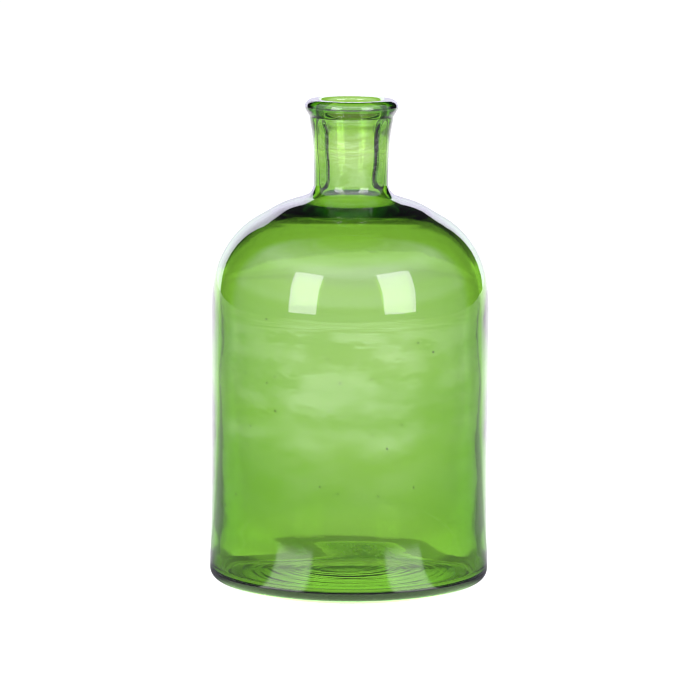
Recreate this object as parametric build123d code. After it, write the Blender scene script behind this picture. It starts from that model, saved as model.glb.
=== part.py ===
from build123d import *
import os

# A heavy one-piece glass carboy, modelled as the section that is turned about the vertical axis.
# Millimetres and degrees. The origin is the middle of the foot ring, on the surface it stands on.

# Overall
HEIGHT = 313.6
BODY_RADIUS = 90.0
WALL = 7.0

# Foot, heel and base
FOOT_INNER_RADIUS = 70.0
FOOT_OUTER_RADIUS = 75.0
BEVEL_ANGLE = 18.0
HEEL_RADIUS = 6.5
PUNT_RISE = 4.0
BASE_THICKNESS = 8.0
FLOOR_FALL_ANGLE = 6.0
INNER_HEEL_RADIUS = 5.0

# Shoulder: a slow turn out of the body, a round corner, a straight slope, a flatter crown
SHOULDER_START = 175.6
EASE_RADIUS, EASE_TURN = 119.0, 11.4
CORNER_RADIUS, CORNER_TURN = 57.5, 48.4
SLOPE_LENGTH = 12.2
CROWN_RADIUS, CROWN_TURN = 51.6, 12.6

# Neck and lip
NECK_RADIUS = 24.0
BORE_RADIUS = 19.5
OUTER_FILLET = 8.5
INNER_FILLET = 20.0
FLARE_RADIUS, FLARE_TURN = 118.0, 11.4
COLLAR_RADIUS, COLLAR_TURN = 42.0, 6.0
GROOVE_RADIUS, GROOVE_TURN = 2.5, 26.0
LIP_RADIUS = 29.9
BEAD_RADIUS = 4.8
MOUTH_ROUNDING = 2.5


def run(start, heading, moves):
    """Draw lines (length,) and tangent arcs (radius, left turn) one after another."""
    point = Vector(*start)
    direction = Vector(1, 0).rotate(Axis.Z, heading)
    edges = []
    for size, *turn in moves:
        if turn:
            edge = JernArc(point, direction, size, turn[0])
        else:
            edge = Line(point, point + direction * size)
        edges.append(edge)
        point = edge @ 1
        direction = edge % 1
    return edges


def reach(heading, moves):
    """How far a run of moves goes outward (X) and upward (Y)."""
    return run((0, 0), heading, moves)[-1] @ 1


def shoulder(body_radius, inset, fillet_radius, neck_radius):
    """The shoulder from the body up to the neck, moved inward by inset."""
    rounds = [
        (EASE_RADIUS - inset, EASE_TURN),
        (CORNER_RADIUS - inset, CORNER_TURN),
        (SLOPE_LENGTH,),
        (CROWN_RADIUS - inset, CROWN_TURN),
    ]
    turn = EASE_TURN + CORNER_TURN + CROWN_TURN
    fillet_arc = (fillet_radius, -turn)
    crown_end = body_radius + reach(90, rounds).X
    unit_run = Vector(1, 0).rotate(Axis.Z, 90 + turn)
    fillet_reach = reach(90 + turn, [fillet_arc]).X
    closing_length = (neck_radius - crown_end - fillet_reach) / unit_run.X
    moves = rounds + [(closing_length,), fillet_arc]
    return run((body_radius, SHOULDER_START), 90, moves)


def heel():
    """The shallow cone outside the foot ring and the round corner into the body."""
    corner = (HEEL_RADIUS, 90 - BEVEL_ANGLE)
    bevel_reach = BODY_RADIUS - FOOT_OUTER_RADIUS - reach(BEVEL_ANGLE, [corner]).X
    bevel_length = bevel_reach / Vector(1, 0).rotate(Axis.Z, BEVEL_ANGLE).X
    return run((FOOT_OUTER_RADIUS, 0), BEVEL_ANGLE, [(bevel_length,), corner])


def lip(neck_top):
    """The flare, the collar, the groove and the round bead, on top of the straight neck."""
    heading = 90 - FLARE_TURN + COLLAR_TURN - GROOVE_TURN
    rise = [
        (FLARE_RADIUS, -FLARE_TURN),
        (COLLAR_RADIUS, COLLAR_TURN),
        (GROOVE_RADIUS, -GROOVE_TURN),
    ]
    bead = (BEAD_RADIUS, 180 - heading)
    bead_start = LIP_RADIUS - BEAD_RADIUS - reach(heading, [bead]).X
    slope_reach = bead_start - NECK_RADIUS - reach(90, rise).X
    slope_length = slope_reach / Vector(1, 0).rotate(Axis.Z, heading).X
    moves = rise + [(slope_length,), bead]
    rise_height = reach(90, moves).Y
    start = (NECK_RADIUS, HEIGHT - rise_height)
    return [Line(neck_top, start)] + run(start, 90, moves)


def outside():
    """The outer outline, from the middle of the punt up to the top of the lip."""
    punt = TangentArc((0, PUNT_RISE), (FOOT_INNER_RADIUS, 0), tangent=(1, 0))
    foot = Line((FOOT_INNER_RADIUS, 0), (FOOT_OUTER_RADIUS, 0))
    heel_edges = heel()
    body = Line(heel_edges[-1] @ 1, (BODY_RADIUS, SHOULDER_START))
    shoulder_edges = shoulder(BODY_RADIUS, 0, OUTER_FILLET, NECK_RADIUS)
    lip_edges = lip(shoulder_edges[-1] @ 1)
    return [punt, foot] + heel_edges + [body] + shoulder_edges + lip_edges


def floor(inner_radius):
    """The inner floor, highest in the middle, and its round corner into the wall."""
    corner = (INNER_HEEL_RADIUS, 90 + FLOOR_FALL_ANGLE)
    flat_reach = inner_radius - reach(-FLOOR_FALL_ANGLE, [corner]).X
    floor_radius = flat_reach / Vector(0, 1).rotate(Axis.Z, -FLOOR_FALL_ANGLE).X
    start = (0, PUNT_RISE + BASE_THICKNESS)
    return run(start, 0, [(floor_radius, -FLOOR_FALL_ANGLE), corner])


def inside():
    """The inner outline, from the middle of the floor up to the mouth."""
    inner_radius = BODY_RADIUS - WALL
    floor_edges = floor(inner_radius)
    wall = Line(floor_edges[-1] @ 1, (inner_radius, SHOULDER_START))
    shoulder_edges = shoulder(inner_radius, WALL, INNER_FILLET, BORE_RADIUS)
    bore_top = (BORE_RADIUS, HEIGHT - MOUTH_ROUNDING)
    bore = Line(shoulder_edges[-1] @ 1, bore_top)
    mouth = run(bore_top, 90, [(MOUTH_ROUNDING, -90)])
    return floor_edges + [wall] + shoulder_edges + [bore] + mouth


def carboy():
    """The whole bottle: foot, body, shoulder, neck and lip are one piece of glass."""
    outer = outside()
    inner = inside()
    lip_top = Line(outer[-1] @ 1, inner[-1] @ 1)
    axis_line = Line(outer[0] @ 0, inner[0] @ 0)
    section = make_face(Plane.XZ * Curve(outer + inner + [lip_top, axis_line]))
    return revolve(section, Axis.Z)


os.makedirs("parts", exist_ok=True)
export_step(carboy(), "parts/glass_carboy.step")
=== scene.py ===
import math

import bmesh
import bpy
import numpy as np
from mathutils import Matrix, Vector, noise


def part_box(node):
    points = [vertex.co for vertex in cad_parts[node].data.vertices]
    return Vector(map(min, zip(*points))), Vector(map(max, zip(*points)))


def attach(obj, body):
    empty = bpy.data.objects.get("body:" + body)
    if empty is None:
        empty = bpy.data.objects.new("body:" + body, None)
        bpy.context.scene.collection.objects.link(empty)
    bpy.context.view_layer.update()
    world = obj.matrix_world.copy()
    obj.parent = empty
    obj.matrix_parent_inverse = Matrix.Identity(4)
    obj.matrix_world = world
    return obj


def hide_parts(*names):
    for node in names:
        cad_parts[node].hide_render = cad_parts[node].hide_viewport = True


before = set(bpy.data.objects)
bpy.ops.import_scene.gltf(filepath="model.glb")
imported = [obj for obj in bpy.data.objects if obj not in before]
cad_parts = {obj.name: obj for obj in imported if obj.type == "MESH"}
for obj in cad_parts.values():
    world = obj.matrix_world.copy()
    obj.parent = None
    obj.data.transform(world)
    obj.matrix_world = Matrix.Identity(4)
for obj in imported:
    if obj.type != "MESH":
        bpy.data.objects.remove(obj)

# A green glass carboy: one closed glass mesh with an outer and an inner skin.
# Lengths of the bottle are millimetres until MM turns them into metres; the studio is in metres.
# Angles are degrees.
MM = 0.001
NODE = "glass_carboy"

low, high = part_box(NODE)
BODY_RADIUS = (high.x - low.x) / 2 / MM
HEIGHT = (high.z - low.z) / MM

# Section of the bottle, as it was designed in CAD
WALL = 7.0
FOOT_INNER_RADIUS, FOOT_OUTER_RADIUS = 70.0, 75.0
BEVEL_ANGLE = 18.0
HEEL_RADIUS = 6.5
PUNT_RISE = 4.0
BASE_THICKNESS = 8.0
FLOOR_FALL_ANGLE = 6.0
INNER_HEEL_RADIUS = 5.0
SHOULDER_START = 175.6
EASE_RADIUS, EASE_TURN = 119.0, 11.4
CORNER_RADIUS, CORNER_TURN = 57.5, 48.4
SLOPE_LENGTH = 12.2
CROWN_RADIUS, CROWN_TURN = 51.6, 12.6
NECK_RADIUS, BORE_RADIUS = 24.0, 19.5
OUTER_FILLET, INNER_FILLET = 8.5, 20.0
FLARE_RADIUS, FLARE_TURN = 118.0, 11.4
COLLAR_RADIUS, COLLAR_TURN = 42.0, 6.0
GROOVE_RADIUS, GROOVE_TURN = 2.5, 26.0
LIP_RADIUS, BEAD_RADIUS = 29.9, 4.8
MOUTH_ROUNDING = 2.5
EDGE_ROUNDING = 1.2

# Uneven wall, beyond the even wall of the CAD, with the heights where each change starts and ends
NECK_BASE_GAIN, GAIN_START, GAIN_END = 3.5, 231, 252
NECK_FADE_START, NECK_FADE_END = 252, 284
THIN_SHOULDER, THIN_START, THIN_END = 0.9, 150, 205
THICK_FOOT, THICK_START, THICK_END = 0.9, 30, 150

# Hand finish of the outer skin, always inward. INSET keeps it just inside the CAD faces.
# A pair is where a change starts and ends, by radius for a FADE and by height for a waist
INSET = 0.06
WAIST, WAIST_FOOT, WAIST_TOP = 0.2, (20, 80), (150, 230)
DENT = 0.1
OUTER_FADE = (60, 85)

# Unevenness of the inner skin: large and small patches of the wall, and streaks down the bore
WALL_PATCH, WALL_RIPPLE, BORE_STREAK = 0.7, 0.15, 0.3
INNER_FADE, BORE_FADE = (40, 75), (21, 30)

# Turned rings in the base: depth and spacing, and the radii where they fade in and out.
# The outer skin is underside below UNDERSIDE_TOP, and the inner skin is floor below FLOOR_TOP
LOWER_MARKS, UPPER_MARKS = (0.16, 2.4), (0.12, 3.0)
MARKS_START, LOWER_MARKS_END, UPPER_MARKS_END = (12, 34), (67, 71), (70, 76)
UNDERSIDE_TOP, FLOOR_TOP = 8.0, 14.0

# Two folds down the inside of the neck: angle from the front, width, lowest and highest point
FOLD_DEPTH, FOLD_WANDER = 2.4, 1.5
FOLDS = [(-58, 2.6, 255, 303), (62, 4.2, 255, 305)]

# Small bubbles in the wall of the body: how many, their size, depth, heights, shape and lean
SEED_COUNT, SEED_SIZE, SEED_DEPTH = 90, 0.45, 1.9
SEED_LOW, SEED_HIGH = 30.0, 168.0
SEED_SHAPE, SEED_LEAN = (0.8, 1.0, 1.3), 1.2

# Glass: what it absorbs per metre, the worn ring it stands on, faint smears, a fine relief
GLASS_COLOUR, GLASS_DENSITY = (0.495, 0.735, 0.0, 1), 235.0
GLASS_IOR = 1.5
WEAR_LOW, WEAR_HIGH, WORN_ROUGHNESS = 0.05, 0.3, 0.45
SMEAR_SCALE, SMEAR_ROUGHNESS = 14.0, 0.03
RELIEF, RELIEF_SCALE = 0.02, 160.0

# How finely the section and the round are divided
LONGEST_STEP = 1.0
TURN_STEP = 6.0
ROUND_STEPS = 320


def ahead(heading):
    """Unit step outward (r) and upward (z) along a heading."""
    angle = math.radians(heading)
    return np.array([math.cos(angle), math.sin(angle)])


def run(start, heading, moves):
    """Points along lines (length,) and tangent arcs (radius, left turn), without the start."""
    point = np.array(start, float)
    points = []
    for size, *turns in moves:
        turn = turns[0] if turns else 0.0
        length = abs(math.radians(turn)) * size if turns else size
        steps = max(1, math.ceil(length / LONGEST_STEP), math.ceil(abs(turn) / TURN_STEP))
        for _ in range(steps):
            chord = length / steps
            if turns:
                half = math.radians(abs(turn)) / steps / 2
                chord = 2 * size * math.sin(half)
            point = point + chord * ahead(heading + turn / steps / 2)
            heading += turn / steps
            points.append(point)
    return points


def reach(heading, moves):
    """How far a run of moves goes outward and upward."""
    return run((0, 0), heading, moves)[-1]


def straight(start, end):
    """Points along a straight line from start to end, without the start."""
    start, end = np.array(start, float), np.array(end, float)
    steps = max(1, math.ceil(np.linalg.norm(end - start) / LONGEST_STEP))
    return [start + (end - start) * (k + 1) / steps for k in range(steps)]


def shoulder(body_radius, inset, fillet_radius, neck_radius):
    """The shoulder from the body up to the neck, moved inward by inset."""
    rounds = [
        (EASE_RADIUS - inset, EASE_TURN),
        (CORNER_RADIUS - inset, CORNER_TURN),
        (SLOPE_LENGTH,),
        (CROWN_RADIUS - inset, CROWN_TURN),
    ]
    turn = EASE_TURN + CORNER_TURN + CROWN_TURN
    fillet_arc = (fillet_radius, -turn)
    crown_end = body_radius + reach(90, rounds)[0]
    fillet_reach = reach(90 + turn, [fillet_arc])[0]
    closing_length = (neck_radius - crown_end - fillet_reach) / ahead(90 + turn)[0]
    return run((body_radius, SHOULDER_START), 90, rounds + [(closing_length,), fillet_arc])


def heel():
    """The shallow cone outside the foot ring and the round corner into the body."""
    corner = (HEEL_RADIUS, 90 - BEVEL_ANGLE)
    soft_edge = (EDGE_ROUNDING * 4, BEVEL_ANGLE)
    edge_reach = reach(0, [soft_edge])[0]
    corner_reach = reach(BEVEL_ANGLE, [corner])[0]
    bevel_reach = BODY_RADIUS - FOOT_OUTER_RADIUS - edge_reach - corner_reach
    bevel = (bevel_reach / ahead(BEVEL_ANGLE)[0],)
    return run((FOOT_OUTER_RADIUS, 0), 0, [soft_edge, bevel, corner])


def lip(neck_top):
    """The flare, the collar, the groove and the round bead, on top of the straight neck."""
    heading = 90 - FLARE_TURN + COLLAR_TURN - GROOVE_TURN
    rise = [
        (FLARE_RADIUS, -FLARE_TURN),
        (COLLAR_RADIUS, COLLAR_TURN),
        (GROOVE_RADIUS, -GROOVE_TURN),
    ]
    bead = (BEAD_RADIUS, 180 - heading)
    slope_reach = LIP_RADIUS - BEAD_RADIUS - reach(heading, [bead])[0] - NECK_RADIUS - reach(90, rise)[0]
    moves = rise + [(slope_reach / ahead(heading)[0],), bead]
    start = (NECK_RADIUS, HEIGHT - reach(90, moves)[1])
    return straight(neck_top, start) + run(start, 90, moves)


def falling_arc(rise, radius):
    """A shallow dome from the axis at height rise down to height 0 at radius, starting level."""
    turn = 2 * math.degrees(math.atan2(rise, radius))
    return run((0, rise), 0, [(radius / math.sin(math.radians(turn)), -turn)])


def outside():
    """The outer outline, from the middle of the punt up to the top of the lip."""
    points = [np.array([0, PUNT_RISE])] + falling_arc(PUNT_RISE, FOOT_INNER_RADIUS)
    points += straight(points[-1], (FOOT_OUTER_RADIUS, 0))
    points += heel()
    points += straight(points[-1], (BODY_RADIUS, SHOULDER_START))
    points += shoulder(BODY_RADIUS, 0, OUTER_FILLET, NECK_RADIUS)
    points += lip(points[-1])
    return points


def inside():
    """The inner outline, from the middle of the floor up to the mouth."""
    inner_radius = BODY_RADIUS - WALL
    corner = (INNER_HEEL_RADIUS, 90 + FLOOR_FALL_ANGLE)
    flat_reach = inner_radius - reach(-FLOOR_FALL_ANGLE, [corner])[0]
    floor_radius = flat_reach / math.sin(math.radians(FLOOR_FALL_ANGLE))
    points = [np.array([0, PUNT_RISE + BASE_THICKNESS])]
    points += run(points[-1], 0, [(floor_radius, -FLOOR_FALL_ANGLE), corner])
    points += straight(points[-1], (inner_radius, SHOULDER_START))
    points += shoulder(inner_radius, WALL, INNER_FILLET, BORE_RADIUS)
    points += straight(points[-1], (BORE_RADIUS, HEIGHT - MOUTH_ROUNDING))
    points += run(points[-1], 90, [(MOUTH_ROUNDING, -90)])
    return points


def ramp(value, start, end):
    """Smooth rise from 0 at start to 1 at end."""
    t = min(1.0, max(0.0, (value - start) / (end - start)))
    return t * t * (3 - 2 * t)


def ramped_thickness(height):
    """Extra thickness of the wall by height, beyond the even wall of the CAD."""
    gain = NECK_BASE_GAIN * ramp(height, GAIN_START, GAIN_END)
    thin = THIN_SHOULDER * ramp(height, THIN_START, THIN_END)
    return (gain - thin) * (1 - ramp(height, NECK_FADE_START, NECK_FADE_END))


def thicken(points):
    """The inner outline moved into the bottle by the extra thickness, along its own normal."""
    outline = np.array(points)
    along = np.gradient(outline, axis=0)
    along /= np.linalg.norm(along, axis=1)[:, None]
    inward = np.stack([-along[:, 1], along[:, 0]], axis=1)
    extra = np.array([ramped_thickness(z) for z in outline[:, 1]])
    return list(outline + inward * extra[:, None])


def drift(angle, height, across, up, seed):
    """Smooth noise over the round wall: across and up are the sizes of its patches."""
    spread = 80.0 / across
    place = (math.cos(angle) * spread, math.sin(angle) * spread, height / up + seed)
    return noise.noise(Vector(place))


def turning_marks(radius, angle, depth, spacing):
    """Uneven rings left in the base by the mould, up to depth, fading towards the middle."""
    place = (radius / spacing, 0.4 * math.cos(angle), 0.4 * math.sin(angle))
    return depth * (0.5 + noise.noise(Vector(place))) * ramp(radius, *MARKS_START)


def outer_skin(radius, height, angle):
    """The outer surface after hand finishing: a faint waist and a soft unevenness, always inward."""
    radius -= INSET * ramp(radius, *OUTER_FADE)
    if height < UNDERSIDE_TOP:
        marks = turning_marks(radius, angle, *LOWER_MARKS) * (1 - ramp(radius, *LOWER_MARKS_END))
        return radius, height + marks
    on_body = ramp(radius, *OUTER_FADE) * ramp(height, UNDERSIDE_TOP, 30)
    waist = WAIST * ramp(height, *WAIST_FOOT) * (1 - ramp(height, *WAIST_TOP))
    dent = DENT * (1 + drift(angle, height, 110, 60, 3.1))
    return radius - on_body * (waist + dent), height


def fold(angle, height):
    """How far the two folds stand out from the inside of the neck."""
    depth = 0.0
    for side, width, start, end in FOLDS:
        off = math.remainder(angle + math.pi / 2 - math.radians(side), 2 * math.pi) * BORE_RADIUS
        off += FOLD_WANDER * noise.noise(Vector((side, height / 14, 0)))
        ends = ramp(height, start, start + 8) * (1 - ramp(height, end - 10, end))
        depth += FOLD_DEPTH * math.exp(-(off / width) ** 2) * ends
    return depth


def inner_skin(radius, height, angle):
    """The inner surface: rings on the floor, a patchy wall that is thicker low down, a folded neck."""
    if height < FLOOR_TOP:
        marks = turning_marks(radius, angle, *UPPER_MARKS) * (1 - ramp(radius, *UPPER_MARKS_END))
        return radius, height - marks
    on_wall = ramp(radius, *INNER_FADE) * ramp(height, 20, 40)
    patch = WALL_PATCH * drift(angle, height, 90, 34, 7.7)
    ripple = WALL_RIPPLE * drift(angle, height, 60, 16, 1.3)
    taper = THICK_FOOT * (1 - ramp(height, THICK_START, THICK_END))
    streak = BORE_STREAK * drift(angle, height, 30, 60, 5.5) * (1 - ramp(radius, *BORE_FADE))
    inward = on_wall * (patch + ripple + taper) + streak + fold(angle, height)
    return radius - inward, height


def turned_mesh(name, rings, skins):
    """A closed mesh of rings of points turned about Z. The first and last rings are single points."""
    vertices = []
    starts = []
    for (radius, height), skin in zip(rings, skins):
        starts.append(len(vertices))
        if radius < 1e-6:
            vertices.append((0, 0, height * MM))
            continue
        for k in range(ROUND_STEPS):
            angle = 2 * math.pi * k / ROUND_STEPS
            r, z = skin(radius, height, angle)
            vertices.append((r * math.cos(angle) * MM, r * math.sin(angle) * MM, z * MM))
    faces = []
    for i in range(len(rings) - 1):
        a, b = starts[i], starts[i + 1]
        for k in range(ROUND_STEPS):
            n = (k + 1) % ROUND_STEPS
            if rings[i][0] < 1e-6:
                faces.append((a, b + n, b + k))
            elif rings[i + 1][0] < 1e-6:
                faces.append((a + k, a + n, b))
            else:
                faces.append((a + k, a + n, b + n, b + k))
    mesh = bpy.data.meshes.new(name)
    mesh.from_pydata(vertices, [], faces)
    mesh.update()
    mesh.shade_smooth()
    return mesh


def add_seeds(mesh):
    """Tiny closed bubbles left inside the wall, some of them drawn out as the glass was blown."""
    noise.seed_set(7)
    bubbles = bmesh.new()
    for _ in range(SEED_COUNT):
        pick = noise.random_unit_vector()
        angle = math.atan2(pick.y, pick.x)
        depth = SEED_DEPTH * (1 + noise.random())
        centre = Vector((math.cos(angle), math.sin(angle), 0)) * (BODY_RADIUS - depth)
        centre.z = SEED_LOW + (SEED_HIGH - SEED_LOW) * (0.5 + 0.5 * pick.z)
        turn = Matrix.Rotation(angle, 4, "Z") @ Matrix.Rotation(noise.random() * SEED_LEAN, 4, "X")
        drawn = Matrix.Diagonal((*SEED_SHAPE, 1))
        place = Matrix.Scale(MM, 4) @ Matrix.Translation(centre) @ turn @ drawn
        size = SEED_SIZE * (0.5 + noise.random() ** 2)
        bmesh.ops.create_icosphere(bubbles, subdivisions=2, radius=size, matrix=place)
    bmesh.ops.reverse_faces(bubbles, faces=bubbles.faces)
    bubbles.from_mesh(mesh)
    for face in bubbles.faces:
        face.smooth = True
    bubbles.to_mesh(mesh)
    bubbles.free()


def glass_bottle():
    """The whole bottle as one closed skin, out along the base, up the outside and down the inside."""
    outer, inner = outside(), thicken(inside())
    top = straight(outer[-1], inner[-1])
    rings = outer + top[:-1] + inner[::-1]
    skins = [outer_skin] * (len(outer) + len(top) - 1) + [inner_skin] * len(inner)
    mesh = turned_mesh("carboy_glass", rings, skins)
    add_seeds(mesh)
    bottle = bpy.data.objects.new("carboy_glass", mesh)
    bpy.context.scene.collection.objects.link(bottle)
    return bottle


def glass_material():
    """Clear yellow-green bottle glass: colour comes from the depth of glass the light crosses."""
    material = bpy.data.materials.new("green_bottle_glass")
    material.use_nodes = True
    tree = material.node_tree
    nodes, links = tree.nodes, tree.links
    shader = nodes["Principled BSDF"]
    shader.inputs["Base Color"].default_value = (1, 1, 1, 1)
    shader.inputs["Transmission Weight"].default_value = 1.0
    shader.inputs["IOR"].default_value = GLASS_IOR
    place = nodes.new("ShaderNodeTexCoord").outputs["Object"]
    split = nodes.new("ShaderNodeSeparateXYZ")
    links.new(place, split.inputs[0])
    worn = step_node(tree, split.outputs["Z"], WEAR_LOW * MM, WEAR_HIGH * MM, WORN_ROUGHNESS, 0.0)
    smears = step_node(tree, noise_node(tree, place, SMEAR_SCALE, 4.0), 0.5, 0.8, 0.0, SMEAR_ROUGHNESS)
    links.new(math_node(tree, "MAXIMUM", worn, smears), shader.inputs["Roughness"])
    relief = nodes.new("ShaderNodeBump")
    relief.inputs["Strength"].default_value = 1.0
    relief.inputs["Distance"].default_value = RELIEF * MM
    links.new(noise_node(tree, place, RELIEF_SCALE, 2.0), relief.inputs["Height"])
    links.new(relief.outputs["Normal"], shader.inputs["Normal"])
    absorb = nodes.new("ShaderNodeVolumeAbsorption")
    absorb.inputs["Color"].default_value = GLASS_COLOUR
    absorb.inputs["Density"].default_value = GLASS_DENSITY
    links.new(absorb.outputs["Volume"], nodes["Material Output"].inputs["Volume"])
    return material


def noise_node(tree, place, scale, detail):
    """Soft noise between 0 and 1 at a place in space."""
    node = tree.nodes.new("ShaderNodeTexNoise")
    node.inputs["Scale"].default_value = scale
    node.inputs["Detail"].default_value = detail
    tree.links.new(place, node.inputs["Vector"])
    return node.outputs["Fac"]


def math_node(tree, operation, *values):
    """One Math node; each value is a number or another node's output."""
    node = tree.nodes.new("ShaderNodeMath")
    node.operation = operation
    for socket, value in zip(node.inputs, values):
        if isinstance(value, (int, float)):
            socket.default_value = value
        else:
            tree.links.new(value, socket)
    return node.outputs[0]


def product(tree, first, *others):
    """The product of numbers and node outputs."""
    result = first
    for other in others:
        result = math_node(tree, "MULTIPLY", result, other)
    return result


def step_node(tree, value, start, end, low_value=0.0, high_value=1.0):
    """Smooth change from low_value at start to high_value at end."""
    node = tree.nodes.new("ShaderNodeMapRange")
    node.interpolation_type = "SMOOTHSTEP"
    tree.links.new(value, node.inputs["Value"])
    node.inputs["From Min"].default_value = start
    node.inputs["From Max"].default_value = end
    node.inputs["To Min"].default_value = low_value
    node.inputs["To Max"].default_value = high_value
    return node.outputs["Result"]


def curve_node(tree, value, points):
    """Brightness read from a list of (value, brightness) points, with soft changes between them."""
    start, end = points[0][0], points[-1][0]
    peak = max(level for _, level in points)
    scaled = tree.nodes.new("ShaderNodeMapRange")
    tree.links.new(value, scaled.inputs["Value"])
    scaled.inputs["From Min"].default_value = start
    scaled.inputs["From Max"].default_value = end
    node = tree.nodes.new("ShaderNodeValToRGB")
    ramp_points = node.color_ramp
    ramp_points.interpolation = "EASE"
    while len(ramp_points.elements) < len(points):
        ramp_points.elements.new(0.5)
    for element, (place, level) in zip(ramp_points.elements, points):
        element.position = (place - start) / (end - start)
        element.color = (level / peak, level / peak, level / peak, 1)
    tree.links.new(scaled.outputs["Result"], node.inputs["Fac"])
    return math_node(tree, "MULTIPLY", node.outputs["Color"], peak)


def band_node(tree, value, edges):
    """1 between the two middle edges, and softly down to 0 at the outer two."""
    rise = step_node(tree, value, edges[0], edges[1])
    fall = step_node(tree, value, edges[2], edges[3], 1.0, 0.0)
    return math_node(tree, "MULTIPLY", rise, fall)


def blend_node(tree, factor, first, second):
    """first where factor is 0 and second where it is 1."""
    rest = math_node(tree, "MULTIPLY", math_node(tree, "SUBTRACT", 1.0, factor), first)
    return math_node(tree, "ADD", rest, math_node(tree, "MULTIPLY", factor, second))


# Which sockets of a Mix node hold its colours: the first, the second and the result
MIX_FIRST, MIX_SECOND, MIX_RESULT = 6, 7, 2


def tint_node(tree, factor, colour):
    """White where factor is 0 and colour where it is 1."""
    node = tree.nodes.new("ShaderNodeMix")
    node.data_type = "RGBA"
    tree.links.new(factor, node.inputs["Factor"])
    node.inputs[MIX_FIRST].default_value = (1, 1, 1, 1)
    node.inputs[MIX_SECOND].default_value = colour
    return node.outputs[MIX_RESULT]


# The studio's light fields. Azimuth 0 is straight behind the bottle, 180 is the camera's side.
# Each list holds (degrees or metres, brightness). All of this belongs to the stage.
PAGE_LIGHT = 1.05
DARK = 0.05

# Light seen through the glass: by azimuth, the backdrop's top edge by azimuth, by height over
# that edge, and by distance on the floor. The light from under the foot is dimmer on the left
THROUGH_LIGHT = 1.15
THROUGH_AROUND = [(0, 1.0), (15, 1.05), (36, 1.6), (44, 0.3), (55, 0.3), (66, 0.7), (180, 0.7)]
THROUGH_TOP = [(0, 7.0), (12, 7.0), (22, 5.0), (30, 7.0), (36, 11.0), (90, 20.0), (180, 20.0)]
THROUGH_RISE = [(-6, 1.0), (-1.5, 1.15), (1.0, 0.5), (5.0, 0.28), (14.0, 0.05), (90.0, 0.04)]
THROUGH_FLOOR = [
    (0.085, 1.0), (0.094, 0.35), (0.112, 0.35), (0.14, 0.92), (0.35, 0.98), (0.6, 1.0), (1.0, 0.97),
    (1.6, 0.97), (1.8, 0.84), (1.9, 0.84), (2.02, 0.96), (3.0, 1.15), (4.0, 1.15),
]
UNDER_LIGHT = [(0.0, 1.7), (0.06, 1.6), (0.078, 0.5), (0.09, 0.3), (0.14, 0.0)]
UNDER_LEFT, UNDER_LEFT_X, UNDER_RIGHT_X = 0.4, -0.075, -0.01

# Light mirrored from the floor: by azimuth, and by distance on the camera's side, which begins
# between FRONT_START and FRONT_END
MIRROR_FLOOR_LIGHT = 1.5
MIRROR_AROUND = [
    (0, 0.5), (10, 0.73), (20, 1.0), (31, 1.15), (40, 0.85), (47, 0.35), (60, 0.3), (78, 0.75),
    (110, 1.2), (145, 2.4), (180, 2.4),
]
MIRROR_FRONT_FLOOR = [
    (0.3, 0.02), (0.57, 0.25), (0.65, 0.3), (0.73, 0.8), (0.81, 0.5), (0.93, 1.0), (4.0, 1.0),
]
FRONT_START, FRONT_END = 50.0, 75.0

# Soft patches on the floor in front: how many fit around, how long one is, and their brightness
PATCH_TURNS, PATCH_LENGTH = 1.3, 0.1
PATCH_DARK, PATCH_BRIGHT = 0.5, 1.35

# Two bright columns on the floor in front, at the same angle to the left and the right
COLUMN_LIGHT = 3.5
COLUMN_AROUND = (127.0, 131.0, 153.0, 157.0)
COLUMN_REACH = (0.108, 0.125, 0.25, 0.31)

# A green ring on the floor close to the foot, that lights the rim on the camera's side
RIM_LIGHT, RIM_TINT = 2.6, (0.6, 1.0, 0.42, 1)
RIM_NEAR, RIM_FAR = 0.104, 0.118
RIM_AROUND_START, RIM_AROUND_END = 95.0, 140.0

# Light mirrored from the room: a bright panel behind with leaning sides, a tilted top and soft
# edges, by angle from the first view's line of sight, and soft light in front, by azimuth and by
# elevation
BACK_LEFT, BACK_RIGHT, BACK_LEAN = -40.0, 32.0, 0.45
BACK_TOP, BACK_TOP_TILT = 25.5, -0.17
MIRROR_BACK = [(0, 0.75), (10, 1.0), (17, 1.5), (23, 2.1), (30, 2.6), (40, 2.4)]
MIRROR_FRONT_AROUND = [(0, 0.0), (60, 0.0), (78, 1.2), (110, 1.8), (145, 2.7), (180, 2.7)]
MIRROR_FRONT_RISE = [
    (0, 0.8), (4, 0.7), (9, 1.3), (16, 1.1), (28, 1.3), (42, 2.1), (57, 1.1), (67, 0.6),
    (78, 0.15), (90, 0.05),
]
MIRROR_TINT = (0.96, 0.93, 1.12, 1)
BACK_EDGE = 1.0

# Floor: how far its square reaches, its height just below the foot, and its own grey
FLOOR_REACH, FLOOR_DROP, FLOOR_GREY = 4.0, 0.0002, 0.15


def directions(tree, vector):
    """Azimuth, its size without sign, and elevation, in degrees, of a direction vector."""
    split = tree.nodes.new("ShaderNodeSeparateXYZ")
    tree.links.new(vector, split.inputs[0])
    x, y, z = split.outputs
    azimuth = math_node(tree, "DEGREES", math_node(tree, "ARCTAN2", x, y))
    away = math_node(tree, "ABSOLUTE", azimuth)
    elevation = math_node(tree, "DEGREES", math_node(tree, "ARCSINE", z))
    return azimuth, away, elevation


def through_field(tree, away, elevation):
    """What is seen through the glass: a lit backdrop with a dark room above it."""
    around = math_node(tree, "MULTIPLY", curve_node(tree, away, THROUGH_AROUND), THROUGH_LIGHT)
    top = curve_node(tree, away, THROUGH_TOP)
    above = curve_node(tree, math_node(tree, "SUBTRACT", elevation, top), THROUGH_RISE)
    return math_node(tree, "MULTIPLY", around, above)


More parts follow.
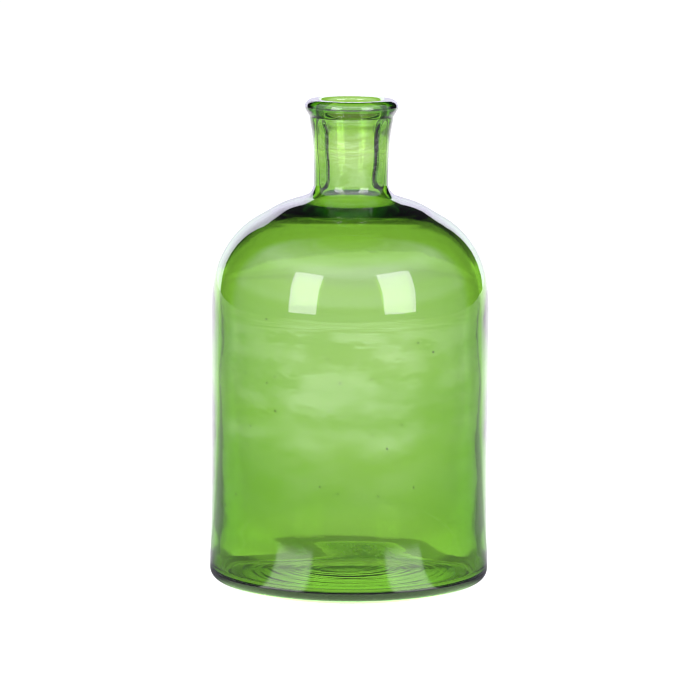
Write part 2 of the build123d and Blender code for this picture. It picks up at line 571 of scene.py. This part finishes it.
def back_panel(tree, azimuth, elevation):
    """1 inside the bright panel behind the bottle, whose sides lean and whose top is tilted."""
    lean = math_node(tree, "MULTIPLY", elevation, BACK_LEAN)
    right = math_node(tree, "ADD", azimuth, lean)
    left = math_node(tree, "SUBTRACT", azimuth, lean)
    height = math_node(tree, "SUBTRACT", elevation, math_node(tree, "MULTIPLY", azimuth, BACK_TOP_TILT))
    return product(
        tree,
        step_node(tree, left, BACK_LEFT - BACK_EDGE, BACK_LEFT + BACK_EDGE),
        step_node(tree, right, BACK_RIGHT - BACK_EDGE, BACK_RIGHT + BACK_EDGE, 1.0, 0.0),
        step_node(tree, height, BACK_TOP - BACK_EDGE, BACK_TOP + BACK_EDGE, 1.0, 0.0),
    )


def mirror_field(tree, azimuth, away, elevation, off_axis):
    """What the glass mirrors: the bright backdrop behind, dark beside it, and soft light in front."""
    panel = back_panel(tree, azimuth, elevation)
    back = math_node(tree, "MULTIPLY", panel, curve_node(tree, off_axis, MIRROR_BACK))
    around = curve_node(tree, away, MIRROR_FRONT_AROUND)
    front = math_node(tree, "MULTIPLY", around, curve_node(tree, elevation, MIRROR_FRONT_RISE))
    return math_node(tree, "ADD", math_node(tree, "ADD", back, front), DARK)


def angle_from(tree, vector, axis):
    """Angle in degrees between a direction vector and a fixed axis."""
    node = tree.nodes.new("ShaderNodeVectorMath")
    node.operation = "DOT_PRODUCT"
    tree.links.new(vector, node.inputs[0])
    node.inputs[1].default_value = axis
    return math_node(tree, "DEGREES", math_node(tree, "ARCCOSINE", node.outputs["Value"]))


def studio():
    """The surroundings: white to the camera, and soft light and dark fields to the glass."""
    world = bpy.data.worlds.new("studio")
    bpy.context.scene.world = world
    world.use_nodes = True
    tree = world.node_tree
    tree.nodes.clear()
    place = tree.nodes.new("ShaderNodeTexCoord").outputs["Generated"]
    azimuth, away, elevation = directions(tree, place)
    pitch = math.radians(CAMERA_PITCH)
    off_axis = angle_from(tree, place, (0, math.cos(pitch), -math.sin(pitch)))
    through = through_field(tree, away, elevation)
    mirror = mirror_field(tree, azimuth, away, elevation, off_axis)
    rays = tree.nodes.new("ShaderNodeLightPath").outputs
    level = blend_node(tree, rays["Is Reflection Ray"], through, mirror)
    level = blend_node(tree, rays["Is Camera Ray"], level, PAGE_LIGHT)
    background = tree.nodes.new("ShaderNodeBackground")
    tree.links.new(tint_node(tree, rays["Is Reflection Ray"], MIRROR_TINT), background.inputs["Color"])
    tree.links.new(level, background.inputs["Strength"])
    output = tree.nodes.new("ShaderNodeOutputWorld")
    tree.links.new(background.outputs[0], output.inputs["Surface"])


def soft_patches(tree, azimuth, distance):
    """Long soft patches of brightness on the floor, wide around the bottle and short across."""
    turn = math_node(tree, "RADIANS", azimuth)
    place = tree.nodes.new("ShaderNodeCombineXYZ")
    across = math_node(tree, "MULTIPLY", math_node(tree, "SINE", turn), PATCH_TURNS)
    along = math_node(tree, "MULTIPLY", math_node(tree, "COSINE", turn), PATCH_TURNS)
    tree.links.new(across, place.inputs[0])
    tree.links.new(along, place.inputs[1])
    tree.links.new(math_node(tree, "DIVIDE", distance, PATCH_LENGTH), place.inputs[2])
    patches = noise_node(tree, place.outputs[0], 1.0, 2.0)
    return step_node(tree, patches, 0.35, 0.65, PATCH_DARK, PATCH_BRIGHT)


def mirrored_floor(tree, azimuth, away, distance):
    """How bright the floor is where the glass mirrors it, with two columns and a ring at the foot."""
    front = step_node(tree, away, FRONT_START, FRONT_END)
    by_distance = blend_node(tree, front, 1.0, curve_node(tree, distance, MIRROR_FRONT_FLOOR))
    patches = blend_node(tree, front, 1.0, soft_patches(tree, azimuth, distance))
    around = curve_node(tree, away, MIRROR_AROUND)
    level = product(tree, around, by_distance, MIRROR_FLOOR_LIGHT, patches)
    column_angle = band_node(tree, away, COLUMN_AROUND)
    columns = product(tree, column_angle, band_node(tree, distance, COLUMN_REACH), COLUMN_LIGHT)
    rim_angle = step_node(tree, away, RIM_AROUND_START, RIM_AROUND_END)
    rim = product(tree, rim_angle, step_node(tree, distance, RIM_NEAR, RIM_FAR, RIM_LIGHT, 0.0))
    return math_node(tree, "ADD", math_node(tree, "ADD", level, columns), rim)


def floor_through_glass(tree, place, away, distance):
    """How bright the floor is through the glass, with a shadow at the foot and light under it."""
    around = curve_node(tree, away, THROUGH_AROUND)
    level = math_node(tree, "MULTIPLY", around, curve_node(tree, distance, THROUGH_FLOOR))
    split = tree.nodes.new("ShaderNodeSeparateXYZ")
    tree.links.new(place, split.inputs[0])
    side = step_node(tree, split.outputs["X"], UNDER_LEFT_X, UNDER_RIGHT_X, UNDER_LEFT, 1.0)
    under = math_node(tree, "MULTIPLY", curve_node(tree, distance, UNDER_LIGHT), side)
    return math_node(tree, "ADD", level, under)


def floor_light(tree):
    """Brightness and colour of the floor: seen directly, through the glass, or mirrored in it."""
    place = tree.nodes.new("ShaderNodeTexCoord").outputs["Object"]
    length = tree.nodes.new("ShaderNodeVectorMath")
    length.operation = "LENGTH"
    tree.links.new(place, length.inputs[0])
    distance = length.outputs["Value"]
    azimuth, away, _ = directions(tree, place)
    through = floor_through_glass(tree, place, away, distance)
    mirror = mirrored_floor(tree, azimuth, away, distance)
    rays = tree.nodes.new("ShaderNodeLightPath").outputs
    level = blend_node(tree, rays["Is Reflection Ray"], through, mirror)
    by_foot = step_node(tree, distance, RIM_NEAR, RIM_FAR, 1.0, 0.0)
    tinted = math_node(tree, "MULTIPLY", by_foot, rays["Is Reflection Ray"])
    return blend_node(tree, rays["Is Camera Ray"], level, 1.0), tint_node(tree, tinted, RIM_TINT)


def pale_floor():
    """A large pale floor that glows from within like an acrylic light table: plain white to the camera,
    and painted light and painted shade to the glass.
    """
    mesh = bpy.data.meshes.new("floor")
    corners = [(-1, -1), (1, -1), (1, 1), (-1, 1)]
    points = [(x * FLOOR_REACH, y * FLOOR_REACH, 0) for x, y in corners]
    mesh.from_pydata(points, [], [(0, 1, 2, 3)])
    floor = bpy.data.objects.new("floor", mesh)
    bpy.context.scene.collection.objects.link(floor)
    floor.location.z = -FLOOR_DROP
    material = bpy.data.materials.new("pale_floor")
    material.use_nodes = True
    tree = material.node_tree
    tree.nodes.clear()
    diffuse = tree.nodes.new("ShaderNodeBsdfDiffuse")
    diffuse.inputs["Color"].default_value = (FLOOR_GREY, FLOOR_GREY, FLOOR_GREY, 1)
    glow = tree.nodes.new("ShaderNodeEmission")
    strength, colour = floor_light(tree)
    tree.links.new(strength, glow.inputs["Strength"])
    tree.links.new(colour, glow.inputs["Color"])
    both = tree.nodes.new("ShaderNodeAddShader")
    tree.links.new(diffuse.outputs[0], both.inputs[0])
    tree.links.new(glow.outputs[0], both.inputs[1])
    output = tree.nodes.new("ShaderNodeOutputMaterial")
    tree.links.new(both.outputs[0], output.inputs["Surface"])
    mesh.materials.append(material)


# Softboxes: name, (azimuth, elevation), (width, height)
SOFTBOXES = [
    ("softbox_left", (-141.0, 19.0), (0.68, 1.0)),
    ("softbox_right", (139.0, 20.0), (0.8, 1.05)),
]
SOFTBOX_DISTANCE, SOFTBOX_LIGHT, SOFTBOX_AIM = 1.6, 7.5, (0, 0, 0.18)
LAMP_TINT = (1.0, 0.87, 1.12)
OVERHEAD, OVERHEAD_SIZE = (0.0, 90.0), (2.0, 2.0)
OVERHEAD_DISTANCE, OVERHEAD_LIGHT = 2.0, 1.2


def panel_light(name, direction, distance, size, radiance, aim):
    """A rectangular soft light, placed by its direction from aim, and turned to face it."""
    width, height = size
    light = bpy.data.lights.new(name, "AREA")
    light.shape = "RECTANGLE"
    light.size, light.size_y = width, height
    light.energy = radiance * width * height * math.pi
    light.color = LAMP_TINT
    lamp = bpy.data.objects.new(name, light)
    bpy.context.scene.collection.objects.link(lamp)
    a, e = math.radians(direction[0]), math.radians(direction[1])
    toward = Vector((math.sin(a) * math.cos(e), math.cos(a) * math.cos(e), math.sin(e)))
    lamp.location = Vector(aim) + toward * distance
    lamp.rotation_mode = "QUATERNION"
    lamp.rotation_quaternion = toward.to_track_quat("Z", "Y")
    lamp.visible_camera = False
    return lamp


def lights():
    """Two softboxes on the camera's side, and an overhead light that only the floor receives."""
    for name, direction, size in SOFTBOXES:
        panel_light(name, direction, SOFTBOX_DISTANCE, size, SOFTBOX_LIGHT, SOFTBOX_AIM)
    overhead = panel_light(
        "floor_light", OVERHEAD, OVERHEAD_DISTANCE, OVERHEAD_SIZE, OVERHEAD_LIGHT, (0, 0, 0)
    )
    overhead.visible_glossy = False
    overhead.visible_transmission = False


# Camera: its distance and pitch from a point on the bottle's axis
CAMERA_DISTANCE = 2.8
CAMERA_PITCH = 8.2
CAMERA_ROLL = 0.38
AIM_HEIGHT = 0.1513
FOCAL_LENGTH = 223.1
SENSOR = 36.0


def camera():
    """The camera, looking slightly down along +Y."""
    data = bpy.data.cameras.new("camera")
    data.sensor_width = SENSOR
    data.lens = FOCAL_LENGTH
    data.clip_start, data.clip_end = 0.1, 50
    eye = bpy.data.objects.new("camera", data)
    bpy.context.scene.collection.objects.link(eye)
    pitch = math.radians(CAMERA_PITCH)
    back = Vector((0, -math.cos(pitch), math.sin(pitch)))
    eye.location = Vector((0, 0, AIM_HEIGHT)) + back * CAMERA_DISTANCE
    roll = Matrix.Rotation(math.radians(CAMERA_ROLL), 3, "Z")
    turn = (-back).to_track_quat("-Z", "Y").to_matrix() @ roll
    eye.rotation_mode = "QUATERNION"
    eye.rotation_quaternion = turn.to_quaternion()
    bpy.context.scene.camera = eye


def settings():
    """Room for light to cross many glass surfaces, a sharp pixel, and plain display colours."""
    scene = bpy.context.scene
    scene.cycles.max_bounces = 32
    scene.cycles.transmission_bounces = 28
    scene.cycles.glossy_bounces = 12
    scene.cycles.filter_width = 1.0
    scene.view_settings.view_transform = "Standard"


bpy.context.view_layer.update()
bottle = glass_bottle()
bottle.data.materials.append(glass_material())
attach(bottle, "root")
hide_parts(NODE)

pale_floor()
studio()
lights()
camera()
settings()
